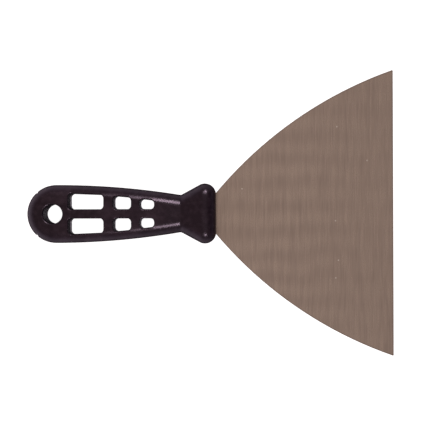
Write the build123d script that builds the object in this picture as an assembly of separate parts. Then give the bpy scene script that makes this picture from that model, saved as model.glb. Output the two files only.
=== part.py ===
from build123d import *

import math
import os

# A flexible putty knife: a thin steel blade whose tang is moulded into a one-piece openwork plastic handle.
#
# Frame, in millimetres: the origin is the centre of the hanging hole, half way through the thickness.
# +X runs along the tool from the butt to the working edge, +Y across it, and +Z out of the blade's face.
# The tool is alike on both faces of the blade and on both sides of its centre line.

# Blade
BLADE_WIDTH = 150.0  # along the working edge
BLADE_REACH = 92.9  # from the collar's front face to the working edge
BLADE_THICKNESS = 0.5
BLADE_SIDE_RADIUS = 212.0  # the long convex sides
BLADE_CORNER_RADIUS = 0.4  # the two points of the working edge
EDGE_LAND = 0.26  # the flat left along the working edge
EDGE_GRIND = 0.8  # how far the ground slopes reach back from the working edge

# Tang, hidden in the handle
HEEL_WIDTH = 21.6  # where the blade leaves the collar
HEEL_DEPTH = 7.0  # how far the blade keeps its heel width inside the collar
TANG_WIDTH = 12.4
TANG_CORNER_RADIUS = 1.2
TANG_END_GAP = 4.5  # plastic left between the tang and the windows
KEY_SLOT_WIDTH = 4.0  # plastic flows through this slot and locks the tang
KEY_SLOT_EDGE = 2.5  # metal left between the slot and each end of the narrow tang

# Handle, seen from above
HANDLE_LENGTH = 98.5  # from the butt to the collar's front face
BUTT_WIDTH = 30.3
NECK_WIDTH = 19.5
COLLAR_WIDTH = 31.3
NECK_SETBACK = 18.3  # from the collar's front face back to the neck
CREST_SETBACK = 7.3  # from the collar's front face back to the end of its flare

# Handle, seen from the side
BUTT_THICKNESS = 15.5
NECK_THICKNESS = 12.8
COLLAR_THICKNESS = 17.6

# Handle, its roundings: the long edges leave some of the neck's side flat, and the nose fits inside them
GRIP_ROUNDING = min(6.0, 0.97 * NECK_THICKNESS / 2)
NOSE_RADIUS = min(5.8, 0.97 * GRIP_ROUNDING)
CREST_RADIUS = 5.5
NECK_RADIUS = 2.0

# Hanging hole and windows
HANG_HOLE_DIAMETER = 10.0
HANG_HOLE_SETBACK = 14.0  # from the butt to the hole's centre
HANG_HOLE_LIP = 0.8
HOLE_TO_WINDOW = 3.05  # plastic between the hanging hole and the first windows
SOLID_FRONT = 32.3  # from the last windows to the collar's front face, where the handle holds the tang
WINDOW_SHARES = (17.9, 8.9, 7.1)  # how the three pairs of windows share the length left to them
BAR_WIDTHS = (5.35, 4.85)  # the cross bars between the pairs
SPINE_WIDTH = 4.9  # the rib between the two rows
RIM_WIDTHS = (4.6, 4.85, 5.05)  # from each pair of windows to the handle's outline
WINDOW_CORNER_RADIUS = 2.0
WINDOW_DRAFT = 2.0  # degrees, opening from the middle of the handle to each face
WINDOW_LIP = 0.5

# Two nicks at the butt, one on each side, where the mould's gates were trimmed off
NICK_OFFSET = 5.2  # from the butt
NICK_WIDTH = 2.2  # across the mouth
NICK_DEPTH = 0.8

# Places along X that follow from the sizes
BUTT = -HANG_HOLE_SETBACK
FRONT = BUTT + HANDLE_LENGTH
EDGE = FRONT + BLADE_REACH
BUTT_CENTRE = BUTT + BUTT_WIDTH / 2
NECK = FRONT - NECK_SETBACK
CREST = FRONT - CREST_SETBACK
FIRST_WINDOW = HANG_HOLE_DIAMETER / 2 + HOLE_TO_WINDOW
TANG_END = FRONT - SOLID_FRONT + TANG_END_GAP

# Seen from above, the grip falls from the butt's semicircle to the neck on one tangent arc.
GRIP_DROP = (BUTT_WIDTH - NECK_WIDTH) / 2
GRIP_RADIUS = ((NECK - BUTT_CENTRE) ** 2 + GRIP_DROP**2) / (2 * GRIP_DROP)

# Seen from the side, it is level past the hanging hole, and falls to the neck on another arc.
BELLY_START = FIRST_WINDOW - HOLE_TO_WINDOW / 2
BELLY_DROP = (BUTT_THICKNESS - NECK_THICKNESS) / 2
BELLY_RADIUS = ((NECK - BELLY_START) ** 2 + BELLY_DROP**2) / (2 * BELLY_DROP)


def grip_half_width(x):
    """Half the grip's width at x, between the butt's centre and the neck."""
    return BUTT_WIDTH / 2 - GRIP_RADIUS + math.sqrt(GRIP_RADIUS**2 - (x - BUTT_CENTRE) ** 2)


def edges_across(shape, x):
    """The edges that lie flat in the plane across the tool at x."""
    near = 0.001
    flat = [edge for edge in shape.edges() if edge.bounding_box().size.X < near]
    return [edge for edge in flat if abs(edge.center().X - x) < near]


def front_face(shape):
    """The face of a shape that lies furthest towards the working edge."""
    return shape.faces().sort_by(Axis.X)[-1]


def make_blade():
    """The blade and its tang, one sheet of steel, with the working edge ground thinner from both faces."""
    heel_half = HEEL_WIDTH / 2
    edge_half = BLADE_WIDTH / 2
    tang_half = TANG_WIDTH / 2
    heel_end = FRONT - HEEL_DEPTH
    tang_start = heel_end - (heel_half - tang_half)  # the shoulders slope at 45 degrees
    with BuildSketch() as outline:
        with BuildLine():
            RadiusArc((FRONT, heel_half), (EDGE, edge_half), BLADE_SIDE_RADIUS)
            Line((EDGE, edge_half), (EDGE, -edge_half))
            RadiusArc((EDGE, -edge_half), (FRONT, -heel_half), BLADE_SIDE_RADIUS)
            Polyline(
                (FRONT, -heel_half),
                (heel_end, -heel_half),
                (tang_start, -tang_half),
                (TANG_END, -tang_half),
                (TANG_END, tang_half),
                (tang_start, tang_half),
                (heel_end, heel_half),
                (FRONT, heel_half),
            )
        make_face()
        fillet(outline.vertices().group_by(Axis.X)[0], TANG_CORNER_RADIUS)
        fillet(outline.vertices().group_by(Axis.X)[-1], BLADE_CORNER_RADIUS)
        with Locations(((tang_start + TANG_END) / 2, 0)):
            slot_length = tang_start - TANG_END - 2 * KEY_SLOT_EDGE
            SlotOverall(slot_length, KEY_SLOT_WIDTH, mode=Mode.SUBTRACT)
    sheet_half = BLADE_THICKNESS / 2
    land_half = EDGE_LAND / 2
    with BuildSketch(Plane.XZ) as thickness:
        with BuildLine():
            Polyline(
                (TANG_END, -sheet_half),
                (EDGE - EDGE_GRIND, -sheet_half),
                (EDGE, -land_half),
                (EDGE, land_half),
                (EDGE - EDGE_GRIND, sheet_half),
                (TANG_END, sheet_half),
                close=True,
            )
        make_face()
    sheet = extrude(outline.sketch, BLADE_THICKNESS, both=True)
    return sheet & extrude(thickness.sketch, BLADE_WIDTH, both=True)


def make_grip():
    """The grip: its outlines from above and from the side crossed, then its long edges rounded."""
    butt_half = BUTT_WIDTH / 2
    neck_half = NECK_WIDTH / 2
    with BuildSketch() as from_above:
        with BuildLine():
            ThreePointArc((BUTT_CENTRE, -butt_half), (BUTT, 0), (BUTT_CENTRE, butt_half))
            RadiusArc((BUTT_CENTRE, butt_half), (NECK, neck_half), GRIP_RADIUS)
            Line((NECK, neck_half), (NECK, -neck_half))
            RadiusArc((NECK, -neck_half), (BUTT_CENTRE, -butt_half), GRIP_RADIUS)
        make_face()
    butt_top = BUTT_THICKNESS / 2
    neck_top = NECK_THICKNESS / 2
    with BuildSketch(Plane.XZ) as from_the_side:
        with BuildLine():
            Polyline((BELLY_START, -butt_top), (BUTT, -butt_top), (BUTT, butt_top), (BELLY_START, butt_top))
            RadiusArc((BELLY_START, butt_top), (NECK, neck_top), BELLY_RADIUS)
            Line((NECK, neck_top), (NECK, -neck_top))
            RadiusArc((NECK, -neck_top), (BELLY_START, -butt_top), BELLY_RADIUS)
        make_face()
    plank = extrude(from_above.sketch, BUTT_THICKNESS, both=True)
    grip = plank & extrude(from_the_side.sketch, BUTT_WIDTH, both=True)
    long_edges = [edge for edge in grip.edges() if edge.bounding_box().size.X > 0.01]
    return fillet(long_edges, GRIP_ROUNDING)


def make_body():
    """The handle's outer form: the grip, the collar that flares from its neck, and the rounded nose."""
    grip = make_grip()
    crest = Plane.YZ.offset(CREST) * RectangleRounded(COLLAR_WIDTH, COLLAR_THICKNESS, GRIP_ROUNDING)
    flare = loft([front_face(grip), crest.face()], ruled=True)
    collar = flare + extrude(crest, FRONT - CREST)
    collar = fillet(edges_across(collar, CREST), CREST_RADIUS)
    collar = fillet(front_face(collar).edges(), NOSE_RADIUS)
    body = grip + collar
    return fillet(edges_across(body, NECK), NECK_RADIUS)


def window_spans():
    """Where each pair of windows starts and ends along X."""
    free_length = FRONT - SOLID_FRONT - FIRST_WINDOW - sum(BAR_WIDTHS)
    spans = []
    start = FIRST_WINDOW
    for share, bar in zip(WINDOW_SHARES, (*BAR_WIDTHS, 0)):
        end = start + free_length * share / sum(WINDOW_SHARES)
        spans.append((start, end))
        start = end + bar
    return spans


def make_window(start, end, rim):
    """One window's space, on the +Y side, drafted both ways from the middle of the handle."""
    spine_half = SPINE_WIDTH / 2
    with BuildSketch() as outline:
        with BuildLine():
            Polyline(
                (start, spine_half),
                (end, spine_half),
                (end, grip_half_width(end) - rim),
                (start, grip_half_width(start) - rim),
                close=True,
            )
        make_face()
        fillet(outline.vertices(), WINDOW_CORNER_RADIUS)
    upper = extrude(outline.sketch, BUTT_THICKNESS, taper=-WINDOW_DRAFT)
    return upper + mirror(upper, Plane.XY)


def make_nick():
    """The space of one gate nick, on the +Y side: a V across the rim, square to the butt's semicircle."""
    radius = BUTT_WIDTH / 2
    outside = radius + NICK_DEPTH
    angle = 180 - math.degrees(math.acos((radius - NICK_OFFSET) / radius))
    with BuildSketch() as outline:
        with BuildLine():
            # The V runs on past the rim to twice its depth, so it is twice as wide there as at its mouth.
            Polyline((radius - NICK_DEPTH, 0), (outside, NICK_WIDTH), (outside, -NICK_WIDTH), close=True)
        make_face()
    return Pos(BUTT_CENTRE, 0) * Rot(0, 0, angle) * extrude(outline.sketch, BUTT_THICKNESS, both=True)


def cut_with_lips(body, space, lip):
    """The body with a through space cut out of it, and the edges that this leaves in its faces rounded."""
    opened = body - space
    return fillet(new_edges(body, space, combined=opened), lip)


def make_handle(blade):
    """The handle, moulded round the tang in one piece, so its slot is the tang's own shape."""
    handle = make_body()
    for (start, end), rim in zip(window_spans(), RIM_WIDTHS):
        window = make_window(start, end, rim)
        handle = cut_with_lips(handle, window, WINDOW_LIP)
        handle = cut_with_lips(handle, mirror(window, Plane.XZ), WINDOW_LIP)
    hang_hole = Cylinder(HANG_HOLE_DIAMETER / 2, 2 * BUTT_THICKNESS)
    handle = cut_with_lips(handle, hang_hole, HANG_HOLE_LIP)
    nick = make_nick()
    return handle - nick - mirror(nick, Plane.XZ) - blade


blade = make_blade()
nodes = {"blade": blade, "handle": make_handle(blade)}

os.makedirs("parts", exist_ok=True)
for name, node in nodes.items():
    export_step(node, f"parts/{name}.step")
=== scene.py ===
import math

import bpy
from mathutils import Matrix, Vector


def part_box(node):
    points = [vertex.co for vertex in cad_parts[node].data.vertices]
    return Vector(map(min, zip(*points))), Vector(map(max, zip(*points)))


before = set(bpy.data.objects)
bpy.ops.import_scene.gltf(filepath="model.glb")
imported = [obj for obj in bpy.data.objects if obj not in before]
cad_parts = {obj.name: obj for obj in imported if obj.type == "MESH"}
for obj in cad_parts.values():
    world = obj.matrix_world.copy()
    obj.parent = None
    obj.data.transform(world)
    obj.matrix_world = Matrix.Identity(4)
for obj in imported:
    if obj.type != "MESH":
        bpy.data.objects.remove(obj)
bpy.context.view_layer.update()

# The blade is one sheet of spring steel, stamped out with its tang. Both faces are ground on a belt
# across the tool, which leaves fine lines along the working edge, a faint chatter across them and a
# few bright nicks. The press leaves a dull line along the two curved sides.

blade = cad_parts["blade"]
blade_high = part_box("blade")[1]
handle_low, handle_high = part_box("handle")
STEEL_DARK = (0.585, 0.50, 0.44, 1)
STEEL_LIGHT = (0.745, 0.645, 0.565, 1)
STEEL_SHEARED = (0.39, 0.32, 0.27, 1)
STEEL_NICKED = (1.0, 0.95, 0.88, 1)
STEEL_ROUGHNESS = (0.32, 0.25)  # of the dark lines and of the light ones
TONE_RANGE = (0.30, 0.70)
FINE_LINES = (0.0006, 0.013, 0.0006)
BROAD_LINES = (0.0022, 0.045, 0.0022)
BROAD_SHARE = 0.35
LINE_DEPTH = 0.000004
CHATTER_PITCH = 0.0125
CHATTER_CENTRE = 0.120
CHATTER_REACH = 0.045
CHATTER_STRENGTH = (0.09, 0.02)  # at its centre, and from its reach outwards
CHATTER_WANDER = 0.012
WANDER_GRAINS = (0.03, 0.05, 0.03)
SIDE_RADIUS = 0.212
HEEL_HALF_WIDTH = 0.0108
SHEARED_LINE = 0.0005
SHEARED_CORE = 0.4  # the share of the line that is at its dullest
SHEARED_DULLNESS = 0.75
NICK_CELLS = 60.0  # to the metre, with room for one nick in each
NICK_RADIUS = 0.026  # in cells
NICK_RARITY = 0.75  # the share of cells left without a nick
NICK_DEPTH = 2.0  # in depths of a line


def node_adder(tree):
    """A function that adds one node to a tree, with its settings, its values and its links."""
    def add(kind, inputs=None, **settings):
        made = tree.nodes.new(kind)
        for key, value in settings.items():
            setattr(made, key, value)
        for key, value in (inputs or {}).items():
            if isinstance(value, bpy.types.NodeSocket):
                tree.links.new(value, made.inputs[key])
            else:
                made.inputs[key].default_value = value
        return made

    return add


def new_finish(name):
    """An empty material, and the function that adds nodes to it."""
    material = bpy.data.materials.new(name)
    material.use_nodes = True
    material.node_tree.nodes.clear()
    return material, node_adder(material.node_tree)


def grains(add, place, size, detail=2.0):
    """Noise about 0.5, with grains of the given size along each axis, in metres."""
    stretched = add("ShaderNodeMapping", {"Vector": place, "Scale": [1 / side for side in size]})
    noise = add("ShaderNodeTexNoise", {"Vector": stretched.outputs[0], "Scale": 1.0, "Detail": detail})
    return noise.outputs[0]


def spread(add, value, low, high, new_low, new_high):
    """The value taken from one range to another, and held inside it."""
    ends = {"From Min": low, "From Max": high, "To Min": new_low, "To Max": new_high}
    return add("ShaderNodeMapRange", {"Value": value, **ends}, clamp=True).outputs[0]


def blend(add, factor, first, second):
    """One colour turning into another as the factor goes from 0 to 1."""
    # The node keeps its two colours in sockets 6 and 7, and gives their blend in socket 2.
    return add("ShaderNodeMix", {"Factor": factor, 6: first, 7: second}, data_type="RGBA").outputs[2]


def math_node(add, operation, first, second=0.0, third=0.0):
    """One step of arithmetic."""
    return add("ShaderNodeMath", {0: first, 1: second, 2: third}, operation=operation).outputs[0]


steel, add = new_finish("belt_ground_steel")
place = add("ShaderNodeTexCoord").outputs["Object"]
fine_lines = grains(add, place, FINE_LINES)
broad_lines = grains(add, place, BROAD_LINES)
fine_part = math_node(add, "MULTIPLY", fine_lines, 1 - BROAD_SHARE)
lines = math_node(add, "MULTIPLY_ADD", broad_lines, BROAD_SHARE, fine_part)

across = add("ShaderNodeSeparateXYZ", {"Vector": place})
wander = math_node(add, "MULTIPLY", grains(add, place, WANDER_GRAINS), CHATTER_WANDER)
phase = math_node(add, "ADD", across.outputs["Y"], wander)
wave = math_node(add, "SINE", math_node(add, "MULTIPLY", phase, 2 * math.pi / CHATTER_PITCH))
from_patch = math_node(add, "ABSOLUTE", math_node(add, "SUBTRACT", across.outputs["X"], CHATTER_CENTRE))
patchy = spread(add, from_patch, 0.0, CHATTER_REACH, *CHATTER_STRENGTH)
tone = math_node(add, "MULTIPLY_ADD", wave, patchy, lines)
ground = blend(add, spread(add, tone, *TONE_RANGE, 0.0, 1.0), STEEL_DARK, STEEL_LIGHT)

# Each curved side is an arc from the heel to a point of the working edge, so its centre stands off
# the middle of that chord. Both sides are handled as one, by their distance from the centre line.
chord = Vector((blade_high.x - handle_high.x, blade_high.y - HEEL_HALF_WIDTH))
middle = Vector((blade_high.x + handle_high.x, blade_high.y + HEEL_HALF_WIDTH)) / 2
rise = math.sqrt(SIDE_RADIUS**2 - chord.length_squared / 4)
centre = middle + Vector((chord.y, -chord.x)).normalized() * rise
one_side = math_node(add, "ABSOLUTE", across.outputs["Y"])
flat_place = add("ShaderNodeCombineXYZ", {"X": across.outputs["X"], "Y": one_side}).outputs[0]
reach = add("ShaderNodeVectorMath", {0: flat_place, 1: (centre.x, centre.y, 0)}, operation="DISTANCE")
inside = math_node(add, "SUBTRACT", SIDE_RADIUS, reach.outputs["Value"])
sheared = spread(add, inside, SHEARED_CORE * SHEARED_LINE, SHEARED_LINE, SHEARED_DULLNESS, 0.0)
trimmed = blend(add, sheared, ground, STEEL_SHEARED)

cells = add("ShaderNodeTexVoronoi", {"Vector": place, "Scale": NICK_CELLS}, voronoi_dimensions="2D")
lot = add("ShaderNodeSeparateColor", {"Color": cells.outputs["Color"]}).outputs["Red"]
speck = math_node(add, "LESS_THAN", cells.outputs["Distance"], NICK_RADIUS)
nick = math_node(add, "MULTIPLY", speck, math_node(add, "GREATER_THAN", lot, NICK_RARITY))
nicked = blend(add, nick, trimmed, STEEL_NICKED)

relief = math_node(add, "SUBTRACT", lines, math_node(add, "MULTIPLY", nick, NICK_DEPTH))
groove = add("ShaderNodeBump", {"Height": relief, "Strength": 1.0, "Distance": LINE_DEPTH}).outputs[0]
across_the_lines = add("ShaderNodeCombineXYZ", {"X": 1.0}).outputs[0]
shader = add("ShaderNodeBsdfPrincipled", {
    "Base Color": nicked, "Metallic": 1.0, "Roughness": spread(add, tone, *TONE_RANGE, *STEEL_ROUGHNESS),
    "Anisotropic": 0.85, "Tangent": across_the_lines, "Normal": groove})
add("ShaderNodeOutputMaterial", {"Surface": shader.outputs[0]})
blade.material_slots[0].material = steel


# The handle is one moulding of black polypropylene, shot round the tang. The mould is spark eroded,
# so the outside has a fine, slightly uneven satin grain, and its two halves meet in a hairline at
# mid thickness. Handling has rubbed the grain a little smoother in places.

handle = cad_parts["handle"]
PLASTIC_BLACK = (0.0035, 0.0012, 0.003, 1)
PLASTIC_SCUFFED = (0.022, 0.014, 0.019, 1)
PLASTIC_SHEEN = (1, 0.82, 0.98, 1)
PLASTIC_ROUGHNESS = (0.29, 0.23)  # as moulded, and where it is rubbed
SPARK_GRAINS = (0.0004, 0.0004, 0.0004)
PEEL_GRAINS = (0.0016, 0.0016, 0.0016)
HAZE_GRAINS = (0.0024, 0.0024, 0.0024)
RUBBED_PATCHES = (0.016, 0.010, 0.016)
PEEL_SHARE = 0.75
GRAIN_DEPTH = 0.00004
PARTING_HALF_WIDTH = 0.00012
PARTING_RELIEF = 0.6  # in depths of the grain
HAZE_RANGE = (0.45, 0.70)
HAZE_STRENGTH = 0.35
SCUFF_RANGE = (0.50, 0.70)
RUBBED_RANGE = (0.35, 0.65)

plastic, add = new_finish("black_moulded_plastic")
place = add("ShaderNodeTexCoord").outputs["Object"]
sparks = grains(add, place, SPARK_GRAINS)
orange_peel = grains(add, place, PEEL_GRAINS, 3.0)
rubbing = grains(add, place, RUBBED_PATCHES, 4.0)

height = add("ShaderNodeSeparateXYZ", {"Vector": place}).outputs["Z"]
from_parting = math_node(add, "ABSOLUTE", height)
parting = spread(add, from_parting, 0.0, PARTING_HALF_WIDTH, 1.0, 0.0)
spark_part = math_node(add, "MULTIPLY", sparks, 1 - PEEL_SHARE)
grain = math_node(add, "MULTIPLY_ADD", orange_peel, PEEL_SHARE, spark_part)
surface = math_node(add, "MULTIPLY_ADD", parting, PARTING_RELIEF, grain)
skin = add("ShaderNodeBump", {"Height": surface, "Strength": 1.0, "Distance": GRAIN_DEPTH}).outputs[0]
haze = spread(add, grains(add, place, HAZE_GRAINS, 3.0), *HAZE_RANGE, 0.0, HAZE_STRENGTH)
scuffs = math_node(add, "MULTIPLY_ADD", spread(add, rubbing, *SCUFF_RANGE, 0.0, 1.0), sparks, haze)
shader = add("ShaderNodeBsdfPrincipled", {
    "Base Color": blend(add, scuffs, PLASTIC_BLACK, PLASTIC_SCUFFED), "Metallic": 0.0, "IOR": 1.39,
    "Specular Tint": PLASTIC_SHEEN,
    "Roughness": spread(add, rubbing, *RUBBED_RANGE, *PLASTIC_ROUGHNESS), "Normal": skin})
add("ShaderNodeOutputMaterial", {"Surface": shader.outputs[0]})
handle.material_slots[0].material = plastic


# The table is a sheet of bright white paper that the handle lies on. Its glow hides any shadow,
# and the plastic mirrors the darker room below the horizon in place of it.

TABLE_SIZE = 6
TABLE_CENTRE_X = 0.08
PAPER_WHITE = (0.9, 0.9, 0.9, 1)
PAPER_GLOW = (1, 1, 1, 1)
bpy.ops.object.select_all(action="DESELECT")
bpy.ops.mesh.primitive_plane_add(size=TABLE_SIZE, location=(0, 0, 0))
table = bpy.context.active_object
table.name = "table_top"
table.data.transform(Matrix.Translation((TABLE_CENTRE_X, 0, handle_low.z)))
table.visible_glossy = False
paper, add = new_finish("white_paper")
shader = add("ShaderNodeBsdfPrincipled", {
    "Base Color": PAPER_WHITE, "Roughness": 0.8, "Emission Color": PAPER_GLOW, "Emission Strength": 1.0})
add("ShaderNodeOutputMaterial", {"Surface": shader.outputs[0]})
table.data.materials.append(paper)


# The backdrop is the same white paper, hung all round to close the studio in. It is there only to
# be seen behind the table, so it lights nothing and nothing mirrors it.

BACKDROP_RADIUS = 5
bpy.ops.object.select_all(action="DESELECT")
bpy.ops.mesh.primitive_uv_sphere_add(segments=48, ring_count=24, radius=BACKDROP_RADIUS, location=(0, 0, 0))
backdrop = bpy.context.active_object
backdrop.name = "backdrop"
backdrop.visible_glossy = False
backdrop.visible_diffuse = False
backdrop.visible_shadow = False
backdrop.data.materials.append(paper)


# Two soft boxes hang over the tool, one to each side of it, and light only the handle. A warm
# ceiling lights the rest. The room is brighter round the horizon, and most of all beyond the butt.

BOX_COLOUR = (1.0, 0.92, 0.96)
NECK = (0.06, 0, 0)
ROOM_LEAN = 0.6  # how much brighter it is beyond the butt, and darker beyond the edge
lit_by_boxes = bpy.data.collections.new("lit_by_boxes")
lit_by_boxes.objects.link(handle)


def soft_box(name, place, width, height, power):
    """A rectangular lamp at a place, turned to the neck."""
    light = bpy.data.lights.new(name, "AREA")
    light.shape = "RECTANGLE"
    light.color = BOX_COLOUR
    light.size = width
    light.size_y = height
    light.energy = power
    lamp = bpy.data.objects.new(name, light)
    lamp.location = place
    lamp.rotation_euler = (Vector(place) - Vector(NECK)).to_track_quat("Z", "Y").to_euler()
    lamp.light_linking.receiver_collection = lit_by_boxes
    bpy.context.scene.collection.objects.link(lamp)


soft_box("upper_soft_box", (0.18, 0.42, 0.66), width=0.11, height=0.34, power=3.6)
soft_box("lower_soft_box", (0.18, -0.37, 0.66), width=0.11, height=0.25, power=2.2)

# Each row is a level, from -1 straight below to 1 straight above, and the room's colour there.
ROOM = (
    (-1.0, (0.90, 0.80, 0.90, 1)),
    (-0.996, (0.25, 0.22, 0.25, 1)),
    (-0.99, (0.012, 0.011, 0.012, 1)),
    (-0.9, (0.02, 0.018, 0.02, 1)),
    (-0.7, (0.12, 0.10, 0.12, 1)),
    (-0.3, (0.72, 0.63, 0.71, 1)),
    (0.15, (0.76, 0.67, 0.75, 1)),
    (0.5, (0.37, 0.31, 0.33, 1)),
    (0.85, (0.32, 0.262, 0.236, 1)),
    (1.0, (0.385, 0.312, 0.282, 1)),
)
world = bpy.data.worlds.new("room")
world.use_nodes = True
world.node_tree.nodes.clear()
add = node_adder(world.node_tree)
direction = add("ShaderNodeTexCoord").outputs["Generated"]
upward = add("ShaderNodeSeparateXYZ", {"Vector": direction}).outputs["Z"]
ramp = add("ShaderNodeValToRGB", {"Fac": spread(add, upward, -1.0, 1.0, 0.0, 1.0)})
ramp.color_ramp.elements.remove(ramp.color_ramp.elements[1])
for level, colour in ROOM[1:]:
    ramp.color_ramp.elements.new((level + 1) / 2).color = colour
ramp.color_ramp.elements[0].color = ROOM[0][1]
towards_butt = add("ShaderNodeVectorMath", {0: direction, 1: (-ROOM_LEAN, 0, 0)}, operation="DOT_PRODUCT")
strength = math_node(add, "ADD", towards_butt.outputs["Value"], 1.0)
shader = add("ShaderNodeBackground", {"Color": ramp.outputs[0], "Strength": strength})
add("ShaderNodeOutputWorld", {"Surface": shader.outputs[0]})
bpy.context.scene.world = world


# The camera hangs half a metre over the tool and looks straight down, with the collar at its middle.
# It is turned a touch, so the tool lies a touch off level in its view.

CAMERA_PLACE = (0.08394, -0.0008, 0.484)
FIELD_WIDTH = 0.2255
TURN = math.radians(-0.2)
camera = bpy.data.cameras.new("overhead_camera")
camera.sensor_width = 36
camera.lens = camera.sensor_width * CAMERA_PLACE[2] / FIELD_WIDTH
camera.clip_start = 0.01
overhead = bpy.data.objects.new("overhead_camera", camera)
overhead.location = CAMERA_PLACE
overhead.rotation_euler = (0, 0, TURN)
bpy.context.scene.collection.objects.link(overhead)
bpy.context.scene.camera = overhead
bpy.context.scene.view_settings.view_transform = "Standard"
